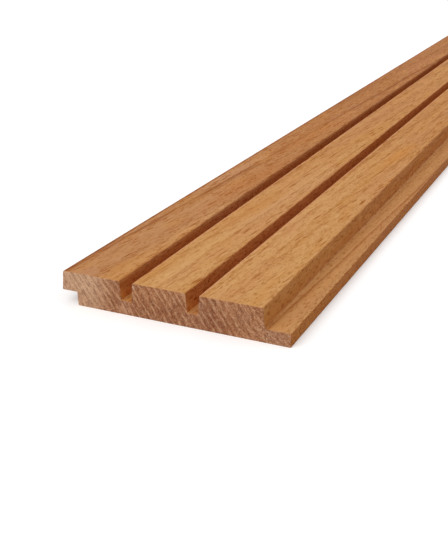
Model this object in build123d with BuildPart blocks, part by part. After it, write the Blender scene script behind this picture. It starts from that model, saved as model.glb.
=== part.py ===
"""Hardwood cladding board with a batten profile, moulded from one plank.

The show face carries three raised battens with two narrow grooves between them.
A lap stands out along the left edge and a lip runs along the right edge, so that
each board on the wall covers the lip of the board before it and leaves one more
groove of the same width at the joint.

The board lies on its back: X runs across the width, Y along the length and Z
towards the show face. The origin is the centre of the back.
"""
from build123d import *

import os
from math import radians, tan

# The plank, in millimetres
board_length = 1850.0
board_thickness = 20.5

# The battens and the grooves between them, measured on the show face
outer_batten_face = 38.2
middle_batten_face = 33.9
groove_mouth = 8.7
groove_depth = 11.8
batten_draft = 5.0  # degrees that each batten side leans out towards its foot

# The lap on the left edge, which covers the next board's lip
lap_thickness = 11.9
lap_reach = 10.0  # underside of the lap, from its free edge to the heel
heel_draft = 3.0  # degrees that the heel under the lap leans in towards the back

# The lip on the right edge, which carries the next board's lap
lip_thickness = 8.2
lip_reach = 15.2  # top of the lip, from the batten's foot to the free edge

# Corners left by the moulding cutters
arris_radius = 1.0  # long top edges of the battens
lip_cove_radius = 2.0  # where the last batten meets the lip
groove_root_radius = 0.6
eased_edge_radius = 0.4  # free edges of the lap, the lip and the back

# Heights that follow from the sizes above
lap_underside = board_thickness - lap_thickness
groove_floor = board_thickness - groove_depth
batten_lean = tan(radians(batten_draft))
lap_face_run = lap_thickness * batten_lean
last_batten_run = (board_thickness - lip_thickness) * batten_lean
heel_run = lap_underside * tan(radians(heel_draft))

# Places across the width, from the free edge of the lap to the free edge of the lip
show_face = 2 * outer_batten_face + middle_batten_face + 2 * groove_mouth
board_width = lap_face_run + show_face + last_batten_run + lip_reach
lap_edge = -board_width / 2
show_left = lap_edge + lap_face_run
show_right = show_left + show_face
batten_foot = show_right + last_batten_run
lip_edge = board_width / 2
heel_top = lap_edge + lap_reach
heel_foot = heel_top + heel_run
first_groove = show_left + outer_batten_face + groove_mouth / 2
second_groove = first_groove + groove_mouth + middle_batten_face

# One board, moulded along its whole length and cut square at both ends
with BuildPart() as cladding_board:
    with BuildSketch(Plane.XZ) as section:
        with BuildLine():
            Polyline(
                (heel_foot, 0),
                (lip_edge, 0),
                (lip_edge, lip_thickness),
                (batten_foot, lip_thickness),
                (show_right, board_thickness),
                (show_left, board_thickness),
                (lap_edge, lap_underside),
                (heel_top, lap_underside),
                close=True,
            )
        make_face()
        with Locations((first_groove, board_thickness), (second_groove, board_thickness)):
            Trapezoid(
                groove_mouth,
                groove_depth,
                90 - batten_draft,
                rotation=180,
                align=(Align.CENTER, Align.MIN),
                mode=Mode.SUBTRACT,
            )

        fillet(section.vertices().filter_by_position(Axis.Y, board_thickness, board_thickness), arris_radius)
        fillet(section.vertices().filter_by_position(Axis.Y, groove_floor, groove_floor), groove_root_radius)
        fillet(section.vertices().sort_by_distance((batten_foot, lip_thickness))[0], lip_cove_radius)
        fillet(section.vertices().sort_by_distance((lap_edge, lap_underside))[0], eased_edge_radius)
        fillet(section.vertices().sort_by_distance((lip_edge, lip_thickness))[0], eased_edge_radius)
        fillet(section.vertices().filter_by_position(Axis.Y, 0, 0), eased_edge_radius)
    extrude(amount=board_length / 2, both=True)
cladding_board.part.label = "cladding_board"

os.makedirs("parts", exist_ok=True)
export_step(cladding_board.part, "parts/cladding_board.step")

# How the board meets the next one on the wall
cover_width = show_face + groove_mouth
lip_to_heel = heel_top + cover_width - lip_edge
lap_over_lip = lap_underside - lip_thickness
print(f"board {board_length:.0f} x {board_width:.2f} x {board_thickness:.1f} mm")
print(f"each board covers {cover_width:.1f} mm of wall")
print(f"the lip stops {lip_to_heel:.2f} mm short of the next heel and {lap_over_lip:.2f} mm under the lap")
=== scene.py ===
from math import inf, radians, tan
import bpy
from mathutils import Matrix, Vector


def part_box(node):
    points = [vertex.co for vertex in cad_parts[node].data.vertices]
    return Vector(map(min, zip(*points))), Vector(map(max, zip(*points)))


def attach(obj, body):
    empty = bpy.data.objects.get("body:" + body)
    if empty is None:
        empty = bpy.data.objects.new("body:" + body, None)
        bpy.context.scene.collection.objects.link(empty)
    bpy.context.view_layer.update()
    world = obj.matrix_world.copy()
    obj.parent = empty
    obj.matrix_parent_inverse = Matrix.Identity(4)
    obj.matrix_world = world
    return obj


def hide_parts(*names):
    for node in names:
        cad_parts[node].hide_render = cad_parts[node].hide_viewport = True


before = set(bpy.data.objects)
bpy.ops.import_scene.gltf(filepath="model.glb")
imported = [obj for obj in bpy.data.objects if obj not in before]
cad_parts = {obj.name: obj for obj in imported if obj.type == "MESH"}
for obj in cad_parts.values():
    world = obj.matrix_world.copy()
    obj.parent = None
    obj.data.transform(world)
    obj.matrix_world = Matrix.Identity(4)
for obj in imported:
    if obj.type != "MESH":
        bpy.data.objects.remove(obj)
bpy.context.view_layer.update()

from types import SimpleNamespace

import bmesh
import bpy

# The camera
# It stands in front of the sawn end and looks along the board from the right.
camera_data = bpy.data.cameras.new("view_along_the_board")
camera_data.lens = 59.72
camera_data.sensor_width = 36.0
camera_data.clip_start = 0.02
camera_data.clip_end = 100.0
camera = bpy.data.objects.new("view_along_the_board", camera_data)
camera.location = (0.2254, -1.3340, 0.2248)
camera.rotation_euler = (radians(67.296), radians(0.375), radians(25.006))
bpy.context.scene.collection.objects.link(camera)
bpy.context.scene.camera = camera

# The board
# One plank of golden-brown hardwood, moulded along its length with three battens,
# a lap on the left edge and a lip on the right, then sawn square at both ends.
board_low, board_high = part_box("cladding_board")
near_end, back_face = board_low[1:]
lip_edge, far_end, show_face = board_high
lap_edge = -lip_edge
board_width = lip_edge - lap_edge
board_length = far_end - near_end
board_thickness = show_face - back_face
outer_batten_face = 0.0382
middle_batten_face = 0.0339
groove_mouth = 0.0087
groove_depth = 0.0118
batten_lean = tan(radians(5.0))
lap_thickness = 0.0119
lap_reach = 0.0100
heel_lean = tan(radians(3.0))
lip_thickness = 0.0082
right_arris_radius = 0.0010
left_arris_radius = 0.0004
lip_cove_radius = 0.0020
groove_root_radius = 0.0006
eased_edge_radius = 0.0004
sawn_rim = 0.00012
micron = 0.000001

lap_underside = board_thickness - lap_thickness
groove_floor = board_thickness - groove_depth
show_left = lap_edge + lap_thickness * batten_lean
batten_spans = []
batten_start = show_left
for batten_face in (outer_batten_face, middle_batten_face, outer_batten_face):
    batten_spans.append((batten_start, batten_start + batten_face))
    batten_start += batten_face + groove_mouth
groove_spans = [(batten_spans[0][1], batten_spans[1][0]), (batten_spans[1][1], batten_spans[2][0])]
show_right = batten_spans[2][1]
batten_foot = show_right + (board_thickness - lip_thickness) * batten_lean
heel_foot = lap_edge + lap_reach + lap_underside * heel_lean


def deselect_all():
    """Leaves no object selected."""
    for item in bpy.context.selected_objects:
        item.select_set(False)


def select_faces(piece, wanted):
    """Selects the faces of a piece in edit mode for which wanted(centre) is true."""
    mesh = bmesh.from_edit_mesh(piece.data)
    for face in mesh.faces:
        face.select_set(wanted(face.calc_center_median()))
    bmesh.update_edit_mesh(piece.data)


def select_edges(piece, wanted):
    """Selects the edges of a piece in edit mode for which wanted(first end, second end) is true."""
    mesh = bmesh.from_edit_mesh(piece.data)
    for face in mesh.faces:
        face.select_set(False)
    for edge in mesh.edges:
        edge.select_set(wanted(edge.verts[0].co, edge.verts[1].co))
    mesh.select_flush_mode()
    bmesh.update_edit_mesh(piece.data)


def cut_away(centre):
    """True in what the cutters take out of the plank's end: lap and lip rebates, and the two grooves."""
    x, height = centre.x, centre.z
    lean_out = (show_face - height) * batten_lean
    beyond_lap = x < show_left - lean_out
    under_lap = height < lap_underside and x < heel_foot - height * heel_lean
    over_lip = height > lip_thickness and x > show_right + lean_out
    in_a_groove = any(left + lean_out < x < right - lean_out for left, right in groove_spans)
    return beyond_lap or under_lap or over_lip or (height > groove_floor and in_a_groove)


# The cutters' sides cross the plank's end as straight lines, and what they enclose falls away
deselect_all()
end_middle = (0.0, near_end, board_thickness / 2)
bpy.ops.mesh.primitive_plane_add(size=1.0, location=end_middle, rotation=(radians(90.0), 0.0, 0.0))
board = bpy.context.active_object
board.name = "planed_board"
board.data.name = "planed_board"
board.scale = (board_width, board_thickness, 1.0)
bpy.ops.object.transform_apply(location=True, rotation=True, scale=True)
cuts = [((0.0, near_end, height), (0.0, 0.0, 1.0)) for height in (lip_thickness, lap_underside, groove_floor)]
cuts.append(((heel_foot, near_end, back_face), (1.0, 0.0, heel_lean)))
cuts.append(((show_left, near_end, show_face), (1.0, 0.0, -batten_lean)))
cuts.append(((show_right, near_end, show_face), (1.0, 0.0, batten_lean)))
for left, right in groove_spans:
    cuts.append(((left, near_end, show_face), (1.0, 0.0, batten_lean)))
    cuts.append(((right, near_end, show_face), (1.0, 0.0, -batten_lean)))
bpy.ops.object.mode_set(mode="EDIT")
bpy.ops.mesh.select_mode(type="FACE")
for place, direction in cuts:
    bpy.ops.mesh.select_all(action="SELECT")
    bpy.ops.mesh.bisect(plane_co=place, plane_no=direction, threshold=micron)
select_faces(board, cut_away)
bpy.ops.mesh.delete(type="FACE")
bpy.ops.mesh.select_all(action="SELECT")
bpy.ops.mesh.dissolve_limited(angle_limit=radians(0.5), use_dissolve_boundaries=False)

# The section runs the whole length
bpy.ops.mesh.select_all(action="SELECT")
bpy.ops.mesh.extrude_region_move(TRANSFORM_OT_translate={"value": (0.0, board_length, 0.0)})
bpy.ops.mesh.select_all(action="SELECT")
bpy.ops.mesh.normals_make_consistent(inside=False)


def round_corners(corners, radius, corner_angle, steps):
    """Rounds the board's long edges that pass through these corners (x, height) of its section."""
    def passes_a_corner(first, second):
        runs_along = abs(first.y - second.y) > board_length / 2
        off = min(abs(first.x - x) + abs(first.z - height) for x, height in corners)
        return runs_along and off < 10 * micron

    select_edges(board, passes_a_corner)
    reach = radius / tan(corner_angle / 2)
    bpy.ops.mesh.bevel(offset_type="OFFSET", offset=reach, segments=steps, profile=0.5, affect="EDGES")


bpy.ops.mesh.select_mode(type="EDGE")
leaning_corner, square_corner = radians(95.0), radians(90.0)
lap_corner, heel_corner = radians(85.0), radians(93.0)
left_arrises = [(left, show_face) for left, right in batten_spans]
right_arrises = [(right, show_face) for left, right in batten_spans]
groove_roots = []
for left, right in groove_spans:
    groove_roots.append((left + groove_depth * batten_lean, groove_floor))
    groove_roots.append((right - groove_depth * batten_lean, groove_floor))
lip_corners = [(lip_edge, lip_thickness), (lip_edge, back_face)]
round_corners(left_arrises, left_arris_radius, leaning_corner, steps=4)
round_corners(right_arrises, right_arris_radius, leaning_corner, steps=6)
round_corners(groove_roots, groove_root_radius, leaning_corner, steps=4)
round_corners([(batten_foot, lip_thickness)], lip_cove_radius, leaning_corner, steps=8)
round_corners([(lap_edge, lap_underside)], eased_edge_radius, lap_corner, steps=3)
round_corners(lip_corners, eased_edge_radius, square_corner, steps=3)
round_corners([(heel_foot, back_face)], eased_edge_radius, heel_corner, steps=3)


def is_sawn(face):
    """True for the sawn ends and the rims round them."""
    return abs(face.normal.y) > 0.5


def spot(at):
    """Where a point lies on the section, rounded so that points at one place have one name."""
    return round(at.x, 6), round(at.z, 6)


def lay_out_map(mesh):
    """Lays the board's faces out flat on one square map: the show side, the back and both sawn ends.

    The length runs up the map. Across it the show side gets most of the room: the scales are the
    metres of board to one pixel of the map.
    """
    map_side, gap = 1024.0, 6.0
    show_scale, back_scale, end_scale = 0.00040, 0.00106, 0.000144
    room_up = map_side - 2 * gap
    layer = mesh.loops.layers.uv.new("OFBake")
    near_cap = min(mesh.faces, key=lambda face: face.calc_center_median().y)
    outline = [corner.co.copy() for corner in near_cap.verts]
    under_the_lap = min(outline, key=lambda at: abs(at.x - lap_edge) + abs(at.z - lap_underside) + at.z)
    start = outline.index(under_the_lap)
    outline = outline[start:] + outline[:start + 1]
    if outline[1].x > outline[0].x + eased_edge_radius:
        outline.reverse()
    distance, places = 0.0, {}
    for before, after in zip(outline, outline[1:]):
        distance += (after - before).length
        places[spot(after)] = distance
    lip_bottom = min(outline, key=lambda at: at.z - at.x)
    lip_turn = places[spot(lip_bottom)]
    whole_turn = distance
    show_width = lip_turn / show_scale
    back_width = (whole_turn - lip_turn) / back_scale
    for face in mesh.faces:
        middle = face.calc_center_median()
        if is_sawn(face):
            at_left = gap * 3 + show_width + back_width
            if middle.y > 0.0:
                at_left += gap + board_thickness / end_scale
            for loop in face.loops:
                across = at_left + loop.vert.co.z / end_scale
                up = gap + (loop.vert.co.x - lap_edge) / end_scale
                loop[layer].uv = (across / map_side, up / map_side)
            continue
        round_places = [places[spot(corner.co)] for corner in face.verts]
        wraps = max(round_places) - min(round_places) > whole_turn / 2
        on_back = not wraps and max(round_places) > lip_turn + micron
        for loop in face.loops:
            turn = places[spot(loop.vert.co)]
            if wraps and turn > whole_turn / 2:
                turn = 0.0
            across = gap + turn / show_scale
            if on_back:
                across = gap * 2 + show_width + (turn - lip_turn) / back_scale
            up = gap + room_up * (loop.vert.co.y - near_end) / board_length
            loop[layer].uv = (across / map_side, up / map_side)


edited = bmesh.from_edit_mesh(board.data)
lay_out_map(edited)
bmesh.update_edit_mesh(board.data)

# The saw leaves a fine broken rim round both ends
select_edges(board, lambda first, second: abs(first.y - second.y) < micron)
bpy.ops.mesh.bevel(offset_type="OFFSET", offset=sawn_rim, segments=1, affect="EDGES")
bpy.ops.object.mode_set(mode="OBJECT")
bpy.ops.object.shade_smooth_by_angle(angle=radians(30.0))
bpy.ops.object.modifier_add(type="WEIGHTED_NORMAL")
board.modifiers[-1].keep_sharp = True
bpy.ops.object.modifier_apply(modifier=board.modifiers[-1].name)


def paint(red, green, blue):
    """A colour as it looks on a screen, 0 to 255, in the linear values that a shader takes."""
    levels = [level / 255 for level in (red, green, blue)]
    linear = [level / 12.92 if level <= 0.04045 else ((level + 0.055) / 1.055) ** 2.4 for level in levels]
    return (*linear, 1.0)


def new_material(name, gloss):
    """Starts a material, and returns it with its nodes and its shader."""
    material = bpy.data.materials.new(name)
    material.use_nodes = True
    shader = material.node_tree.nodes["Principled BSDF"]
    shader.inputs["Specular IOR Level"].default_value = gloss
    return material, material.node_tree, shader


def add_node(tree, kind, inputs, **settings):
    """Adds a shader node. Each input is a value to set, or another node's output to link."""
    made = tree.nodes.new("ShaderNode" + kind)
    for name, setting in settings.items():
        setattr(made, name, setting)
    for name, value in inputs.items():
        if isinstance(value, bpy.types.NodeSocket):
            tree.links.new(value, made.inputs[name])
        else:
            made.inputs[name].default_value = value
    return made


def maths(tree, operation, *values):
    """One step of arithmetic on numbers."""
    return add_node(tree, "Math", dict(enumerate(values)), operation=operation).outputs[0]


def product(tree, first, *others):
    """Two or more values multiplied together."""
    for other in others:
        first = maths(tree, "MULTIPLY", first, other)
    return first


def add_shares(tree, start, *shares):
    """A starting value, plus each (mask, share) multiplied together."""
    for mask, share in shares:
        start = maths(tree, "MULTIPLY_ADD", mask, share, start)
    return start


def away_from(tree, value, middle):
    """How far a value lies from a middle, on either side."""
    return maths(tree, "ABSOLUTE", maths(tree, "SUBTRACT", value, middle))


def vector_maths(tree, operation, first, second):
    """One step of arithmetic on places."""
    return add_node(tree, "VectorMath", {0: first, 1: second}, operation=operation).outputs[0]


def distance_from(tree, place, middle, half_size):
    """How many half sizes a place is from a middle. A half size of inf leaves its direction out."""
    off = vector_maths(tree, "SUBTRACT", place, middle)
    off = vector_maths(tree, "MULTIPLY", off, tuple(1.0 / half for half in half_size))
    return add_node(tree, "VectorMath", {0: off}, operation="LENGTH").outputs["Value"]


def split(tree, place):
    """The X, Y and Z of a place."""
    return add_node(tree, "SeparateXYZ", {0: place}).outputs


def join(tree, x, y, z):
    """The place with this X, Y and Z."""
    return add_node(tree, "CombineXYZ", {"X": x, "Y": y, "Z": z}).outputs[0]


def fade(tree, value, start, end, low=0.0, high=1.0):
    """Goes smoothly from low at start to high at end, and stays level beyond them."""
    inputs = {"Value": value, "From Min": start, "From Max": end, "To Min": low, "To Max": high}
    return add_node(tree, "MapRange", inputs, interpolation_type="SMOOTHSTEP").outputs["Result"]


def blend_colours(tree, amount, first, second, way="MIX"):
    """Blends the second colour over the first by an amount from 0 to 1."""
    inputs = {"Factor": amount, 6: first, 7: second}
    return add_node(tree, "Mix", inputs, data_type="RGBA", blend_type=way).outputs[2]


def cloud(tree, place, lump, detail=2.0, roughness=0.5):
    """Noise about 0.5 whose lumps have the size (x, y, z) given in millimetres."""
    scaled = vector_maths(tree, "MULTIPLY", place, tuple(1.0 / side for side in lump))
    inputs = {"Vector": scaled, "Scale": 1.0, "Detail": detail, "Roughness": roughness}
    return add_node(tree, "TexNoise", inputs).outputs[0]


def waver(tree, place, lump, reach, detail=1.0):
    """A cloud's noise brought about 0, at most a reach to either side."""
    return maths(tree, "MULTIPLY_ADD", cloud(tree, place, lump, detail), 2 * reach, -reach)


def add_bump(tree, shader, height):
    """Lifts and sinks the shaded surface by a height in millimetres."""
    bump = add_node(tree, "Bump", {"Height": height, "Distance": 0.001, "Strength": 1.0})
    tree.links.new(bump.outputs[0], shader.inputs["Normal"])


def new_group(name, inputs, outputs):
    """Starts a group of shader nodes with named sockets, and returns it with its two ends."""
    group = bpy.data.node_groups.new(name, "ShaderNodeTree")
    for socket, kind in inputs.items():
        group.interface.new_socket(name=socket, in_out="INPUT", socket_type="NodeSocket" + kind)
    for socket, kind in outputs.items():
        group.interface.new_socket(name=socket, in_out="OUTPUT", socket_type="NodeSocket" + kind)
    return group, group.nodes.new("NodeGroupInput").outputs, group.nodes.new("NodeGroupOutput").inputs


def use_group(tree, group, inputs):
    """Places a group in a material and returns its outputs."""
    return add_node(tree, "Group", inputs, node_tree=group).outputs


# How the tree's layers and fibres lie in the plank, in millimetres. The layers lean across the section,
# curl a little and run nearly along the board, and the fibres drift to one side as they run along it
layer_slope_x, layer_slope_z, layer_slope_along = 0.857, 0.515, -0.036
layer_curl, layer_curl_middle = 0.000045, -5.0
layers_per_mm, layer_widening = 0.244, 0.00045
fibre_slant, fibre_turn = 0.09, 0.00003
wall_fibre_slant = 0.03
mid_height = board_thickness * 500


def layer_at(x, height):
    """The place across the tree's layers, in millimetres, of a point on the near end."""
    curl = layer_curl * (x - layer_curl_middle) ** 2
    return layer_slope_x * x + (layer_slope_z + curl) * (height - mid_height)


def make_lie_of_grain():
    """Turns a place on the board into a place along its fibres and a place across the tree's layers."""
    group, given, gives = new_group("lie of the grain", {"Place": "Vector"}, {
        "Fibre Place": "Vector", "Layer Place": "Vector", "Across Layers": "Float"})
    millimetres = vector_maths(group, "MULTIPLY", given["Place"], (1000.0, 1000.0, 1000.0))
    x, along, height = split(group, millimetres)
    from_end = maths(group, "SUBTRACT", along, near_end * 1000)
    drift = product(group, add_shares(group, fibre_slant, (from_end, -fibre_turn)), from_end)
    fibre_x = maths(group, "SUBTRACT", x, drift)
    fibre_x = maths(group, "ADD", fibre_x, waver(group, millimetres, (45, 170, 45), 2.5))
    fibre_z = add_shares(group, height, (from_end, -wall_fibre_slant))
    off_middle = maths(group, "SUBTRACT", x, layer_curl_middle)
    slope_z = maths(group, "ADD", product(group, off_middle, off_middle, layer_curl), layer_slope_z)
    rise = product(group, slope_z, maths(group, "SUBTRACT", height, mid_height))
    meander = waver(group, millimetres, (90, 380, 90), 3.5)
    wave = waver(group, millimetres, (14, 70, 14), 0.8)
    across = add_shares(group, rise, (x, layer_slope_x), (from_end, layer_slope_along))
    across = maths(group, "ADD", across, maths(group, "ADD", meander, wave))
    beside = add_shares(group, maths(group, "MULTIPLY", height, layer_slope_x), (x, -layer_slope_z))
    group.links.new(join(group, fibre_x, from_end, fibre_z), gives["Fibre Place"])
    group.links.new(join(group, across, from_end, beside), gives["Layer Place"])
    group.links.new(across, gives["Across Layers"])
    return group


def make_growth_layers():
    """The bands of the tree's layers: a slow tone about 0, and the pale and the dark line of each layer."""
    group, given, gives = new_group("growth layers", {"Layer Place": "Vector", "Across Layers": "Float"}, {
        "Tone": "Float", "Pale Line": "Float", "Dark Line": "Float"})
    place, across = given["Layer Place"], given["Across Layers"]
    wide = fade(group, cloud(group, place, (16, 900, 120), detail=1.0), 0.3, 0.7, low=-1.0, high=1.0)
    narrow = fade(group, cloud(group, place, (3.4, 420, 60)), 0.3, 0.7, low=-1.0, high=1.0)
    tone = add_shares(group, maths(group, "MULTIPLY", narrow, 0.55), (wide, 0.45))
    group.links.new(tone, gives["Tone"])
    count = product(group, add_shares(group, layers_per_mm, (across, -layer_widening)), across)
    unequal = waver(group, place, (6, 900, 40), 0.7)
    ragged = waver(group, place, (1.6, 60, 2.6), 0.18, detail=2.0)
    count = maths(group, "ADD", count, maths(group, "ADD", unequal, ragged))
    from_line = maths(group, "PINGPONG", count, 0.5)
    uneven = fade(group, cloud(group, place, (3.2, 500, 4.5)), 0.35, 0.62, low=0.1, high=1.0)
    pale = fade(group, from_line, 0.3, 0.0)
    group.links.new(product(group, pale, uneven), gives["Pale Line"])
    worn = fade(group, cloud(group, place, (2.4, 500, 3.6)), 0.38, 0.62, low=0.1, high=1.0)
    dark = fade(group, away_from(group, from_line, 0.36), 0.2, 0.0)
    group.links.new(product(group, dark, worn), gives["Dark Line"])
    return group


def make_vessels():
    """The tree's vessels: long thin tubes, seen as dashes on a planed face and as dots on a sawn end."""
    sizes = {"Fibre Place": "Vector", "Spacing": "Float", "Length": "Float", "Width": "Float"}
    group, given, gives = new_group("vessels", sizes, {"Vessel": "Float"})
    cell = join(group, given["Spacing"], given["Length"], given["Spacing"])
    scaled = vector_maths(group, "DIVIDE", given["Fibre Place"], cell)
    tubes = add_node(group, "TexVoronoi", {"Vector": scaled, "Scale": 1.0, "Randomness": 1.0}).outputs
    chance = add_node(group, "SeparateColor", {0: tubes["Color"]}).outputs
    reach = product(group, given["Width"], add_shares(group, 0.45, (chance[0], 0.7)))
    mask = fade(group, tubes["Distance"], reach, maths(group, "MULTIPLY", reach, 0.35))
    strength = add_shares(group, 0.5, (chance[1], 0.5))
    group.links.new(product(group, mask, strength), gives["Vessel"])
    return group


def make_fibres():
    """Fine straight fibres, long and silky or as thin as a hair, and short flecks, each about 0."""
    group, given, gives = new_group("fibres", {"Fibre Place": "Vector"}, {
        "Silk": "Float", "Hair": "Float", "Fleck": "Float"})
    silk = cloud(group, given["Fibre Place"], (1.3, 55, 1.3))
    hair = cloud(group, given["Fibre Place"], (0.45, 40, 0.45), roughness=0.6)
    fleck = cloud(group, given["Fibre Place"], (0.7, 2.6, 0.7), detail=3.0, roughness=0.6)
    group.links.new(fade(group, silk, 0.3, 0.7, low=-1.0, high=1.0), gives["Silk"])
    group.links.new(fade(group, hair, 0.25, 0.75, low=-1.0, high=1.0), gives["Hair"])
    group.links.new(fade(group, fleck, 0.22, 0.6, low=-1.2, high=0.5), gives["Fleck"])
    return group


lie_of_grain = make_lie_of_grain()
growth_layers = make_growth_layers()
vessels = make_vessels()
fibres = make_fibres()


def vessel_marks(tree, fibre_place, spacing, length, width):
    """The marks of one kind of vessel. Its spacing and length are in millimetres, its width in spacings."""
    sizes = {"Fibre Place": fibre_place, "Spacing": spacing, "Length": length, "Width": width}
    return use_group(tree, vessels, sizes)["Vessel"]


# Streaks that follow the layers: place across the board at the near end, on the show face or on
# the lip, then half the width in millimetres, and how much it darkens, or lightens below 0
show_height, lip_height = board_thickness * 1000, lip_thickness * 1000
streak_reach, streak_strength = 1.5, 0.62
streaks = {
    "streak that comes in over the lap, farther along": (-94.0, show_height, 4.0, 0.5),
    "thin dark streak on the first batten": (-71.1, show_height, 0.85, 1.35),
    "soft side of that streak": (-69.8, show_height, 2.6, 0.35),
    "faint streak": (-50.8, show_height, 2.0, 0.35),
    "thin streak": (-45.0, show_height, 0.8, 0.6),
    "pale band beside the first groove": (-40.3, show_height, 2.4, -0.5),
    "dark band on the middle batten": (-33.3, show_height, 3.0, 0.4),
    "thin streak on the middle batten": (-21.1, show_height, 0.9, 0.6),
    "pale streak on the middle batten": (-12.0, show_height, 2.8, -0.45),
    "thin line beside the pale streak": (-8.9, show_height, 0.6, 0.9),
    "dark band on the last batten": (9.3, show_height, 3.0, 0.4),
    "pale band on the last batten": (16.3, show_height, 2.6, -0.3),
    "streak on the last batten": (20.3, show_height, 1.4, 0.4),
    "thin streak on the last batten": (30.3, show_height, 1.0, 0.4),
    "thin streak by the lip": (35.5, show_height, 0.9, 0.3),
    "pale line at the foot of the last batten": (58.2, lip_height, 0.6, -0.5),
    "reddish streak on the lip": (59.9, lip_height, 0.6, 1.2),
    "thin line beside the reddish streak": (61.0, lip_height, 0.45, 0.4),
    "soft side of the reddish streak": (60.3, lip_height, 2.6, 0.22),
}

# How much straighter than the layers the lip's streaks run, in millimetres across for each metre along
lip_straightening = 8.0

# Patches of another colour: middle (across, along from the near end) and half size (across, along)
# in millimetres, colour, and how much of it shows
patches = {
    "amber patch on the last batten": ((44.8, 330.0), (6.0, 42.0), (200, 132, 58), 0.7),
    "amber patch on the middle batten": ((-16.0, 143.0), (9.0, 60.0), (194, 130, 66), 0.4),
    "second amber patch on the middle batten": ((-24.0, 20.0), (7.0, 34.0), (192, 130, 62), 0.5),
    "amber patch on the first batten": ((-41.0, 215.0), (10.0, 80.0), (182, 114, 56), 0.55),
    "second amber patch on the first batten": ((-45.0, 370.0), (9.0, 95.0), (188, 122, 62), 0.55),
    "golden corner of the first batten": ((-38.0, 20.0), (9.0, 90.0), (200, 140, 76), 0.6),
    "pale patch on the first batten": ((-63.5, 229.0), (5.0, 60.0), (202, 150, 112), 0.4),
    "reddish patch on the lip": ((69.0, 40.0), (4.0, 50.0), (186, 124, 88), 0.3),
    "dull edge of the first batten": ((-71.5, 35.0), (2.2, 32.0), (150, 96, 62), 0.6),
    "greyer near end of the first batten": ((-58.0, 2.0), (12.0, 12.0), (186, 134, 100), 0.4),
    "browner strip near the end of the first batten": ((-47.5, 20.0), (4.0, 28.0), (168, 108, 64), 0.28),
    "browner strip farther along the first batten": ((-46.5, 102.0), (3.0, 26.0), (170, 108, 58), 0.35),
    "pale strip beside the first groove": ((-36.6, 132.0), (2.6, 44.0), (206, 152, 98), 0.5),
    "pale middle of the first batten": ((-52.5, 150.0), (4.0, 36.0), (202, 150, 104), 0.35),
    "near end of the strip beside the first groove": ((-37.2, 96.0), (1.8, 30.0), (210, 154, 98), 0.5),
    "paler strip on the middle batten": ((-4.0, 45.0), (5.5, 55.0), (207, 155, 106), 0.35),
    "far end of the strip on the middle batten": ((0.5, 190.0), (6.0, 90.0), (207, 155, 106), 0.32),
    # Painted shade: the second groove is darker at its near end
    "painted shade in the near end of the second groove": ((13.7, 2.0), (3.4, 9.0), (172, 110, 64), 0.55),
}

# The left arrises of the middle and last battens, a little paler and pinker along them
paler_left_arrises = [batten_spans[1][0], batten_spans[2][0]]

# The middle of the first batten's left arris, which is yellower
outer_arris = show_left + 0.0005

# Painted shade along long corners, in the cove at the foot of the last batten and over the battens'
# right arrises where the tops turn down into the walls: place (across, height) and half size (across,
# height) in metres, and how much shows
shaded_corners = {
    "first batten's right arris": ((batten_spans[0][1] - 0.0005, show_face - 0.0002), (0.0014, 0.0011), 0.45),
    "middle batten's right arris": ((batten_spans[1][1], show_face - 0.0003), (0.0012, 0.0010), 0.4),
    "last batten's right arris": ((batten_spans[2][1], show_face), (0.0015, 0.0016), 0.3),
    "foot of the last batten": ((batten_foot - 0.0001, lip_thickness + 0.0010), (0.0014, 0.0014), 0.42),
}

# Where one look starts to show and where it shows fully, in metres: across the board, up it and along it,
# and then how much a wall's face still points up or down
onto_first_batten = (-0.024, -0.036)
onto_middle_batten = (0.016, 0.010)
onto_last_batten = (0.012, 0.020)
onto_right_side = (show_right - 0.001, show_right)
onto_lip_edge = (lip_edge - 0.003, lip_edge - 0.001)
up_the_batten = (0.0115, 0.0165)
down_to_the_lip = (0.0115, 0.0095)
into_a_groove = (0.018, 0.012)
under_the_arris = (0.0203, 0.0190)
far_along = (0.02, 0.5)
far_along_the_lip = (0.06, 0.16)
standing_up = (0.92, 0.45)


def mark_out(tree):
    """Finds a point's place in the grain, and how far it lies in each part of the planed faces, 0 to 1."""
    at = SimpleNamespace()
    place = add_node(tree, "TexCoord", {}).outputs["Object"]
    lie = use_group(tree, lie_of_grain, {"Place": place})
    at.fibre_place = lie["Fibre Place"]
    at.layer_place = lie["Layer Place"]
    at.across_layers = lie["Across Layers"]
    at.x, along, at.height = split(tree, place)
    at.from_end = maths(tree, "SUBTRACT", along, near_end)
    at.farther = fade(tree, at.from_end, *far_along)
    facing = split(tree, add_node(tree, "NewGeometry", {}).outputs["Normal"])["Z"]
    at.wall = fade(tree, maths(tree, "ABSOLUTE", facing), *standing_up)
    at.up_high = fade(tree, at.height, *up_the_batten)
    at.low_down = fade(tree, at.height, *down_to_the_lip)
    at.first_batten = fade(tree, at.x, *onto_first_batten)
    at.middle_batten = maths(tree, "SUBTRACT", fade(tree, at.x, *onto_middle_batten), at.first_batten)
    at.last_batten = fade(tree, at.x, *onto_last_batten)
    at.right_side = fade(tree, at.x, *onto_right_side)
    at.far_right_walls = product(tree, at.right_side, fade(tree, at.from_end, *far_along_the_lip), at.wall)
    at.lip = product(tree, at.right_side, at.low_down)
    at.lip_edge = fade(tree, at.x, *onto_lip_edge)
    left_of_lip = maths(tree, "SUBTRACT", 1.0, at.right_side)
    at.groove = product(tree, fade(tree, at.height, *into_a_groove), left_of_lip)
    at.groove_wall = product(tree, fade(tree, at.height, *under_the_arris), at.wall, left_of_lip)
    at.first_groove_wall = product(tree, at.groove_wall, at.first_batten)
    return at


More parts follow.
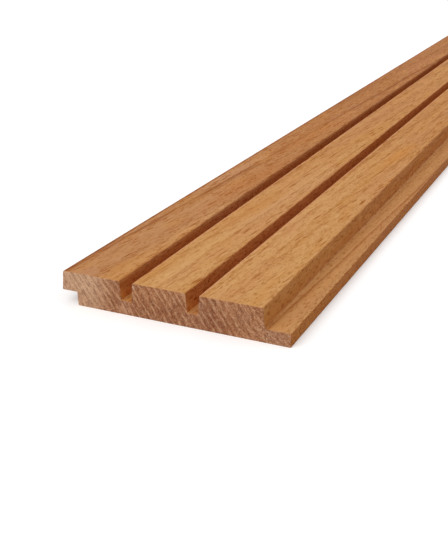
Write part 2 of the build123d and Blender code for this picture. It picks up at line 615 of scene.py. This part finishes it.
def lay_streaks(tree, at, tone):
    """Darkens or lightens a tone along the streaks, and returns it with the lip's reddish ones."""
    straighter = add_shares(tree, at.across_layers, (at.from_end, lip_straightening))
    reddish = 0.0
    for x, height, half_width, darkness in streaks.values():
        on_top = height == show_height
        across = at.across_layers if on_top else straighter
        away = away_from(tree, across, layer_at(x, height))
        line = fade(tree, away, half_width * streak_reach, 0.0, high=darkness * streak_strength)
        if on_top or darkness < 0.0:
            line = product(tree, line, at.up_high if on_top else at.low_down)
            tone = maths(tree, "SUBTRACT", tone, line)
        else:
            reddish = add_shares(tree, reddish, (line, at.low_down))
    return tone, reddish


def mix_tone(tree, at, grain):
    """How light the wood is, about 0, from its layers, streaks and fibres, and where it is reddish."""
    layers = use_group(tree, growth_layers, {
        "Layer Place": at.layer_place, "Across Layers": at.across_layers})
    tone, reddish = lay_streaks(tree, at, maths(tree, "MULTIPLY", layers["Tone"], 0.16))
    tone = product(tree, tone, add_shares(tree, 1.0, (at.wall, -0.4)))
    mottle = cloud(tree, at.fibre_place, (2.2, 12, 2.2), roughness=0.55)
    tone = maths(tree, "ADD", tone, fade(tree, mottle, 0.3, 0.7, low=-0.17, high=0.17))
    far_silk = product(tree, fade(tree, at.from_end, 0.1, 0.35, high=0.24),
                       add_shares(tree, 1.0, (at.wall, -0.6)), add_shares(tree, 1.0, (at.first_batten, -0.8)))
    silk_share = add_shares(tree, 0.06, (at.far_right_walls, 0.2), (at.groove_wall, 0.25), (far_silk, 1.0))
    hair_share = add_shares(tree, 0.075, (at.first_batten, 0.06), (at.lip, 0.07), (at.far_right_walls, 0.2),
                            (at.groove_wall, 0.28), (at.first_groove_wall, 0.45))
    fleck_share = add_shares(tree, 0.33, (at.lip_edge, 2.0), (at.first_batten, -0.1),
                             (at.groove_wall, 0.45), (at.first_groove_wall, 1.0))
    tone = add_shares(tree, tone, (grain["Silk"], silk_share), (grain["Hair"], hair_share),
                      (grain["Fleck"], fleck_share))
    return tone, reddish


def colour_wood(tree, at, tone):
    """The wood's colours, from brown to straw, with the tints of its parts and its patches."""
    ramp = add_node(tree, "ValToRGB", {0: maths(tree, "MULTIPLY_ADD", tone, 0.5, 0.5)})
    stops = ramp.color_ramp.elements
    stops[0].color = paint(152, 90, 36)
    stops[1].color = paint(218, 172, 114)
    stops.new(0.3).color = paint(183, 124, 64)
    stops.new(0.5).color = paint(202, 148, 91)
    wood = ramp.outputs[0]
    wood = blend_colours(tree, at.first_batten, wood, paint(236, 228, 238), "MULTIPLY")
    # Painted shade: farther from the near end the wood is multiplied darker and yellower, for the dimmer
    # light farther along the board
    wood = blend_colours(tree, at.farther, wood, paint(241, 229, 210), "MULTIPLY")
    farther_first = product(tree, at.farther, at.first_batten)
    wood = blend_colours(tree, farther_first, wood, paint(255, 252, 240), "MULTIPLY")
    rosy = fade(tree, cloud(tree, at.layer_place, (22, 170, 60)), 0.45, 0.68, high=0.3)
    wood = blend_colours(tree, rosy, wood, paint(192, 132, 88))
    golden = fade(tree, cloud(tree, at.layer_place, (9, 60, 40)), 0.52, 0.7, high=0.5)
    wood = blend_colours(tree, golden, wood, paint(196, 136, 70))
    for (x, along), (half_x, half_along), colour, amount in patches.values():
        middle = (x - fibre_slant * along, along, 0.0)
        distance = distance_from(tree, at.fibre_place, middle, (half_x, half_along, inf))
        wood = blend_colours(tree, fade(tree, distance, 1.4, 0.2, high=amount), wood, paint(*colour))
    return wood


def colour_lip_and_edges(tree, at, wood, reddish):
    """The duller lip and its reddish streaks, the paler left arrises, and painted light in the grooves'
    mouths at the near end.
    """
    wood = blend_colours(tree, maths(tree, "MULTIPLY", at.lip, 0.4), wood, paint(194, 139, 90))
    outer_lip = product(tree, at.lip, fade(tree, at.x, lip_edge - 0.005, lip_edge - 0.002))
    wood = blend_colours(tree, outer_lip, wood, paint(244, 240, 236), "MULTIPLY")
    broken = fade(tree, cloud(tree, at.fibre_place, (1.2, 9, 1.2)), 0.4, 0.62, low=0.65, high=1.0)
    reddish = product(tree, reddish, broken, add_shares(tree, 1.0, (at.wall, -0.8)), 0.88)
    wood = blend_colours(tree, reddish, wood, paint(150, 80, 34))
    for x in paler_left_arrises:
        paler_band = product(tree, fade(tree, away_from(tree, at.x, x), 0.0022, 0.0006, high=0.5), at.up_high)
        wood = blend_colours(tree, paler_band, wood, paint(210, 148, 106))
    # Painted light: the groove walls are paler close to the near end, where light comes in at the open end
    painted_light_in_groove_mouths = product(tree, fade(tree, at.from_end, 0.028, 0.0, high=0.5), at.groove, at.wall,
                       add_shares(tree, 1.0, (at.first_batten, 0.25)))
    return blend_colours(tree, painted_light_in_groove_mouths, wood, paint(234, 183, 104))


def lay_dashes(tree, at):
    """The open vessels: long and short dashes on the battens, and finer specks on the walls and the lip."""
    large = vessel_marks(tree, at.fibre_place, spacing=1.8, length=22.0, width=0.42)
    small = vessel_marks(tree, at.fibre_place, spacing=0.95, length=5.4, width=0.48)
    specks = vessel_marks(tree, at.fibre_place, spacing=1.25, length=6.0, width=0.48)
    specks = product(tree, specks, add_shares(tree, 0.95, (at.lip, -0.15)))
    specks = maths(tree, "MAXIMUM", specks, product(tree, large, at.first_groove_wall))
    longer = product(tree, at.last_batten, fade(tree, at.from_end, 0.05, 0.14))
    longer = maths(tree, "ADD", longer, at.middle_batten)
    large = product(tree, large, add_shares(tree, 0.8, (at.first_batten, 0.2), (longer, 0.3)))
    small = product(tree, small, add_shares(tree, 1.0, (longer, -0.2)))
    crowd = fade(tree, cloud(tree, at.layer_place, (7, 160, 40)), 0.38, 0.62, low=0.65, high=1.0)
    crowd = add_shares(tree, crowd, (at.first_batten, 0.2))
    far_first = product(tree, fade(tree, at.from_end, 0.12, 0.3), at.first_batten)
    dashes = product(tree, maths(tree, "MAXIMUM", large, small), crowd,
                     add_shares(tree, 1.0, (far_first, 0.35)))
    dashes = fade(tree, maths(tree, "MAXIMUM", at.wall, at.lip), 0.0, 1.0, low=dashes, high=specks)
    return product(tree, dashes, fade(tree, at.from_end, 0.02, 0.3, low=0.93, high=1.0))


def paint_shade_and_light_on_walls(tree, at, wood):
    """Painted shade on the walls and in the long corners, painted light atop the first groove's wall, and a
    yellower outer arris.
    """
    # Painted shade: the walls are multiplied darker and redder, as shade and light bounced between wood walls
    # make them; the groove walls most, the lip's edge less blue, the right walls yellower farther along
    painted_right_wall_shade = blend_colours(tree, at.farther, paint(250, 234, 217), paint(250, 228, 200))
    painted_wall_shade = blend_colours(tree, at.right_side, paint(241, 206, 187), painted_right_wall_shade)
    painted_wall_shade = blend_colours(tree, at.lip_edge, painted_wall_shade, paint(255, 218, 160))
    wood = blend_colours(tree, at.wall, wood, painted_wall_shade, "MULTIPLY")
    # Painted light: the top of the first groove's wall is paler, where more of the sky reaches it
    painted_light_atop_first_wall = product(tree, fade(tree, at.height, 0.0176, 0.0190, high=0.13), at.wall, at.first_batten)
    wood = blend_colours(tree, painted_light_atop_first_wall, wood, paint(236, 190, 128))
    on_outer_arris = product(tree, fade(tree, away_from(tree, at.x, outer_arris), 0.0021, 0.0004), at.up_high)
    wood = blend_colours(tree, on_outer_arris, wood, paint(208, 174, 104), "MULTIPLY")
    blotchy = fade(tree, cloud(tree, at.fibre_place, (2.2, 10, 2.2)), 0.4, 0.62, low=0.45, high=1.35)
    # Painted shade in the long corners, broken into blotches
    for (x, height), (half_x, half_height), amount in shaded_corners.values():
        beside = fade(tree, away_from(tree, at.x, x), half_x, half_x * 0.2)
        above = fade(tree, away_from(tree, at.height, height), half_height, half_height * 0.2)
        shade = product(tree, beside, above, blotchy, amount)
        wood = blend_colours(tree, shade, wood, paint(204, 166, 130), "MULTIPLY")
    return wood


def make_planed_faces():
    """The planed and moulded faces: golden brown, with darker vessels and streaks along the grain."""
    material, tree, shader = new_material("planed faces", gloss=0.05)
    at = mark_out(tree)
    grain = use_group(tree, fibres, {"Fibre Place": at.fibre_place})
    tone, reddish = mix_tone(tree, at, grain)
    wood = colour_wood(tree, at, tone)
    wood = colour_lip_and_edges(tree, at, wood, reddish)
    dashes = lay_dashes(tree, at)
    wood = blend_colours(tree, dashes, wood, paint(152, 82, 20))
    wood = paint_shade_and_light_on_walls(tree, at, wood)
    tree.links.new(wood, shader.inputs["Base Color"])
    roughness = add_shares(tree, 0.58, (grain["Hair"], 0.06), (dashes, 0.2))
    tree.links.new(roughness, shader.inputs["Roughness"])
    add_bump(tree, shader, add_shares(tree, maths(tree, "MULTIPLY", grain["Hair"], 0.003), (dashes, -0.005)))
    return material


# Patches on a sawn end: middle (across, height) and half size in millimetres, colour, and amount
end_patches = {
    "dark reddish patch at the left of the last batten": ((24.0, 11.0), 10.0, (134, 75, 46), 0.6),
    "pale mottled corner by the lip": ((63.0, 4.0), 9.0, (172, 133, 108), 0.35),
    "duller right side of the last batten": ((44.0, 12.0), 6.0, (146, 104, 80), 0.25),
    "browner right side of the middle batten": ((2.0, 11.0), 8.0, (138, 88, 58), 0.2),
    "dark corner at the first groove": ((-36.0, 17.0), 5.0, (150, 98, 70), 0.4),
    "paler wood under the first groove": ((-30.0, 4.0), 5.0, (204, 152, 118), 0.6),
    "paler wood under the second groove": ((12.7, 4.0), 5.0, (204, 152, 118), 0.28),
    # Two pale marks at the left edges of the middle and last battens' ends
    "pale corner of the middle batten's end": ((-23.9, 18.2), 1.3, (232, 190, 156), 0.8),
    "pale left edge of the last batten's end": ((18.8, 14.5), 2.2, (200, 152, 120), 0.6),
}


def colour_end_wood(tree, place, paler_side, softer):
    """The end grain's ground colour: paler at the lap's side, browner along the foot, and patchy."""
    parts = split(tree, place)
    wood = blend_colours(tree, paler_side, paint(173, 114, 75), paint(208, 166, 132))
    foot = product(tree, fade(tree, parts["Z"], 0.0135, 0.0065), fade(tree, parts["X"], 0.044, 0.034), softer)
    wood = blend_colours(tree, foot, wood, paint(227, 213, 205), "MULTIPLY")
    for (x, height), half_side, colour, amount in end_patches.values():
        middle = (x / 1000, 0.0, height / 1000)
        distance = distance_from(tree, place, middle, (half_side / 1000, inf, half_side / 1000))
        wood = blend_colours(tree, fade(tree, distance, 1.5, 0.3, high=amount), wood, paint(*colour))
    return wood


def make_sawn_ends():
    """The sawn ends: pale brown end grain, with ragged pale and dark layers full of pores."""
    material, tree, shader = new_material("sawn ends", gloss=0.1)
    shader.inputs["Roughness"].default_value = 0.8
    place = add_node(tree, "TexCoord", {}).outputs["Object"]
    lie = use_group(tree, lie_of_grain, {"Place": place})
    layers = use_group(tree, growth_layers, {
        "Layer Place": lie["Layer Place"], "Across Layers": lie["Across Layers"]})
    x = split(tree, place)["X"]
    paler_side = fade(tree, x, -0.033, -0.054)
    softer = add_shares(tree, 1.0, (paler_side, -0.6))
    by_the_lip = fade(tree, x, 0.036, 0.048)
    wood = colour_end_wood(tree, place, paler_side, softer)
    blotch = cloud(tree, lie["Layer Place"], (2.6, 60, 5.0))
    wood = blend_colours(tree, fade(tree, blotch, 0.5, 0.28, high=0.66), wood, paint(123, 70, 43))
    wood = blend_colours(tree, fade(tree, blotch, 0.5, 0.72, high=0.45), wood, paint(200, 152, 114))
    flake = cloud(tree, lie["Layer Place"], (0.85, 60, 1.9), detail=3.0, roughness=0.6)
    flaky = product(tree, softer, add_shares(tree, 1.0, (by_the_lip, 0.5)))
    dark_flake = product(tree, fade(tree, flake, 0.52, 0.28, high=0.52), flaky)
    wood = blend_colours(tree, dark_flake, wood, paint(110, 60, 36))
    pale_flake = product(tree, fade(tree, flake, 0.48, 0.72, high=0.42), softer)
    wood = blend_colours(tree, pale_flake, wood, paint(214, 170, 134))
    layered = product(tree, add_shares(tree, 1.0, (by_the_lip, -0.4)),
                      add_shares(tree, 1.0, (paler_side, -0.15)))
    wood = blend_colours(tree, product(tree, layers["Dark Line"], layered, 0.66), wood, paint(114, 62, 42))
    wood = blend_colours(tree, product(tree, layers["Pale Line"], layered, 0.44), wood, paint(214, 170, 132))
    specks = cloud(tree, lie["Fibre Place"], (1.1, 8, 1.1), roughness=0.65)
    speckled = add_shares(tree, 0.4, (by_the_lip, 0.18))
    dark_speck = product(tree, fade(tree, specks, 0.5, 0.25), speckled)
    wood = blend_colours(tree, dark_speck, wood, paint(104, 58, 36))
    pale_speck = product(tree, fade(tree, specks, 0.5, 0.75), speckled)
    wood = blend_colours(tree, pale_speck, wood, paint(224, 184, 150))
    pores = vessel_marks(tree, lie["Fibre Place"], spacing=1.3, length=26.0, width=0.36)
    wood = blend_colours(tree, maths(tree, "MULTIPLY", pores, 0.55), wood, paint(100, 56, 40))
    tree.links.new(wood, shader.inputs["Base Color"])
    add_bump(tree, shader, add_shares(tree, maths(tree, "MULTIPLY", specks, 0.08), (pores, -0.08)))
    return material


board.data.materials.append(make_planed_faces())
board.data.materials.append(make_sawn_ends())
for face in board.data.polygons:
    face.material_index = 1 if is_sawn(face) else 0

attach(board, "root")
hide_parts("cladding_board")

# The floor
# A plain white studio floor, wide enough to fill the view behind the board. It shows white to
# the camera and in reflections, and sends less than half as much light back to the wood.
deselect_all()
bpy.ops.mesh.primitive_plane_add(size=40.0, location=(0.0, 0.0, 0.0))
floor = bpy.context.active_object
floor.name = "studio_floor"
floor_paint, floor_tree, floor_shader = new_material("white floor", gloss=0.0)
floor_shader.inputs["Roughness"].default_value = 1.0


def seen_directly(tree):
    """1 where the camera, a reflection or clear glass shows a surface, 0 where it only sends light on."""
    rays = add_node(tree, "LightPath", {}).outputs
    seen = maths(tree, "MAXIMUM", rays["Is Camera Ray"], rays["Is Glossy Ray"])
    return maths(tree, "MAXIMUM", seen, rays["Is Transmission Ray"])


def grey(level):
    """A neutral colour, from black at 0 to white at 1."""
    return (level, level, level, 1.0)


floor_colour = blend_colours(floor_tree, seen_directly(floor_tree), grey(0.4), grey(1.0))
floor_tree.links.new(floor_colour, floor_shader.inputs["Base Color"])
floor_glow = blend_colours(floor_tree, seen_directly(floor_tree), grey(0.0), grey(0.12))
floor_tree.links.new(floor_glow, floor_shader.inputs["Emission Color"])
floor_shader.inputs["Emission Strength"].default_value = 1.0
floor.data.materials.append(floor_paint)

# The light
# A white room all round, which shows at full strength and lights the board at 0.6 of it, and
# one very broad lamp above the near end, a little to the left.
world = bpy.data.worlds.new("soft white room")
bpy.context.scene.world = world
world.use_nodes = True
room_tree = world.node_tree
room = room_tree.nodes["Background"]
room_strength = maths(room_tree, "MULTIPLY_ADD", seen_directly(room_tree), 0.4, 0.6)
room_tree.links.new(room_strength, room.inputs["Strength"])
room.inputs["Color"].default_value = grey(1.0)

lamp_data = bpy.data.lights.new("broad lamp", "SUN")
lamp_data.energy = 1.8
lamp_data.angle = radians(60.0)
lamp = bpy.data.objects.new("broad lamp", lamp_data)
lamp.rotation_euler = (radians(48.0), 0.0, radians(-14.0))
bpy.context.scene.collection.objects.link(lamp)

bpy.context.scene.view_settings.view_transform = "Standard"
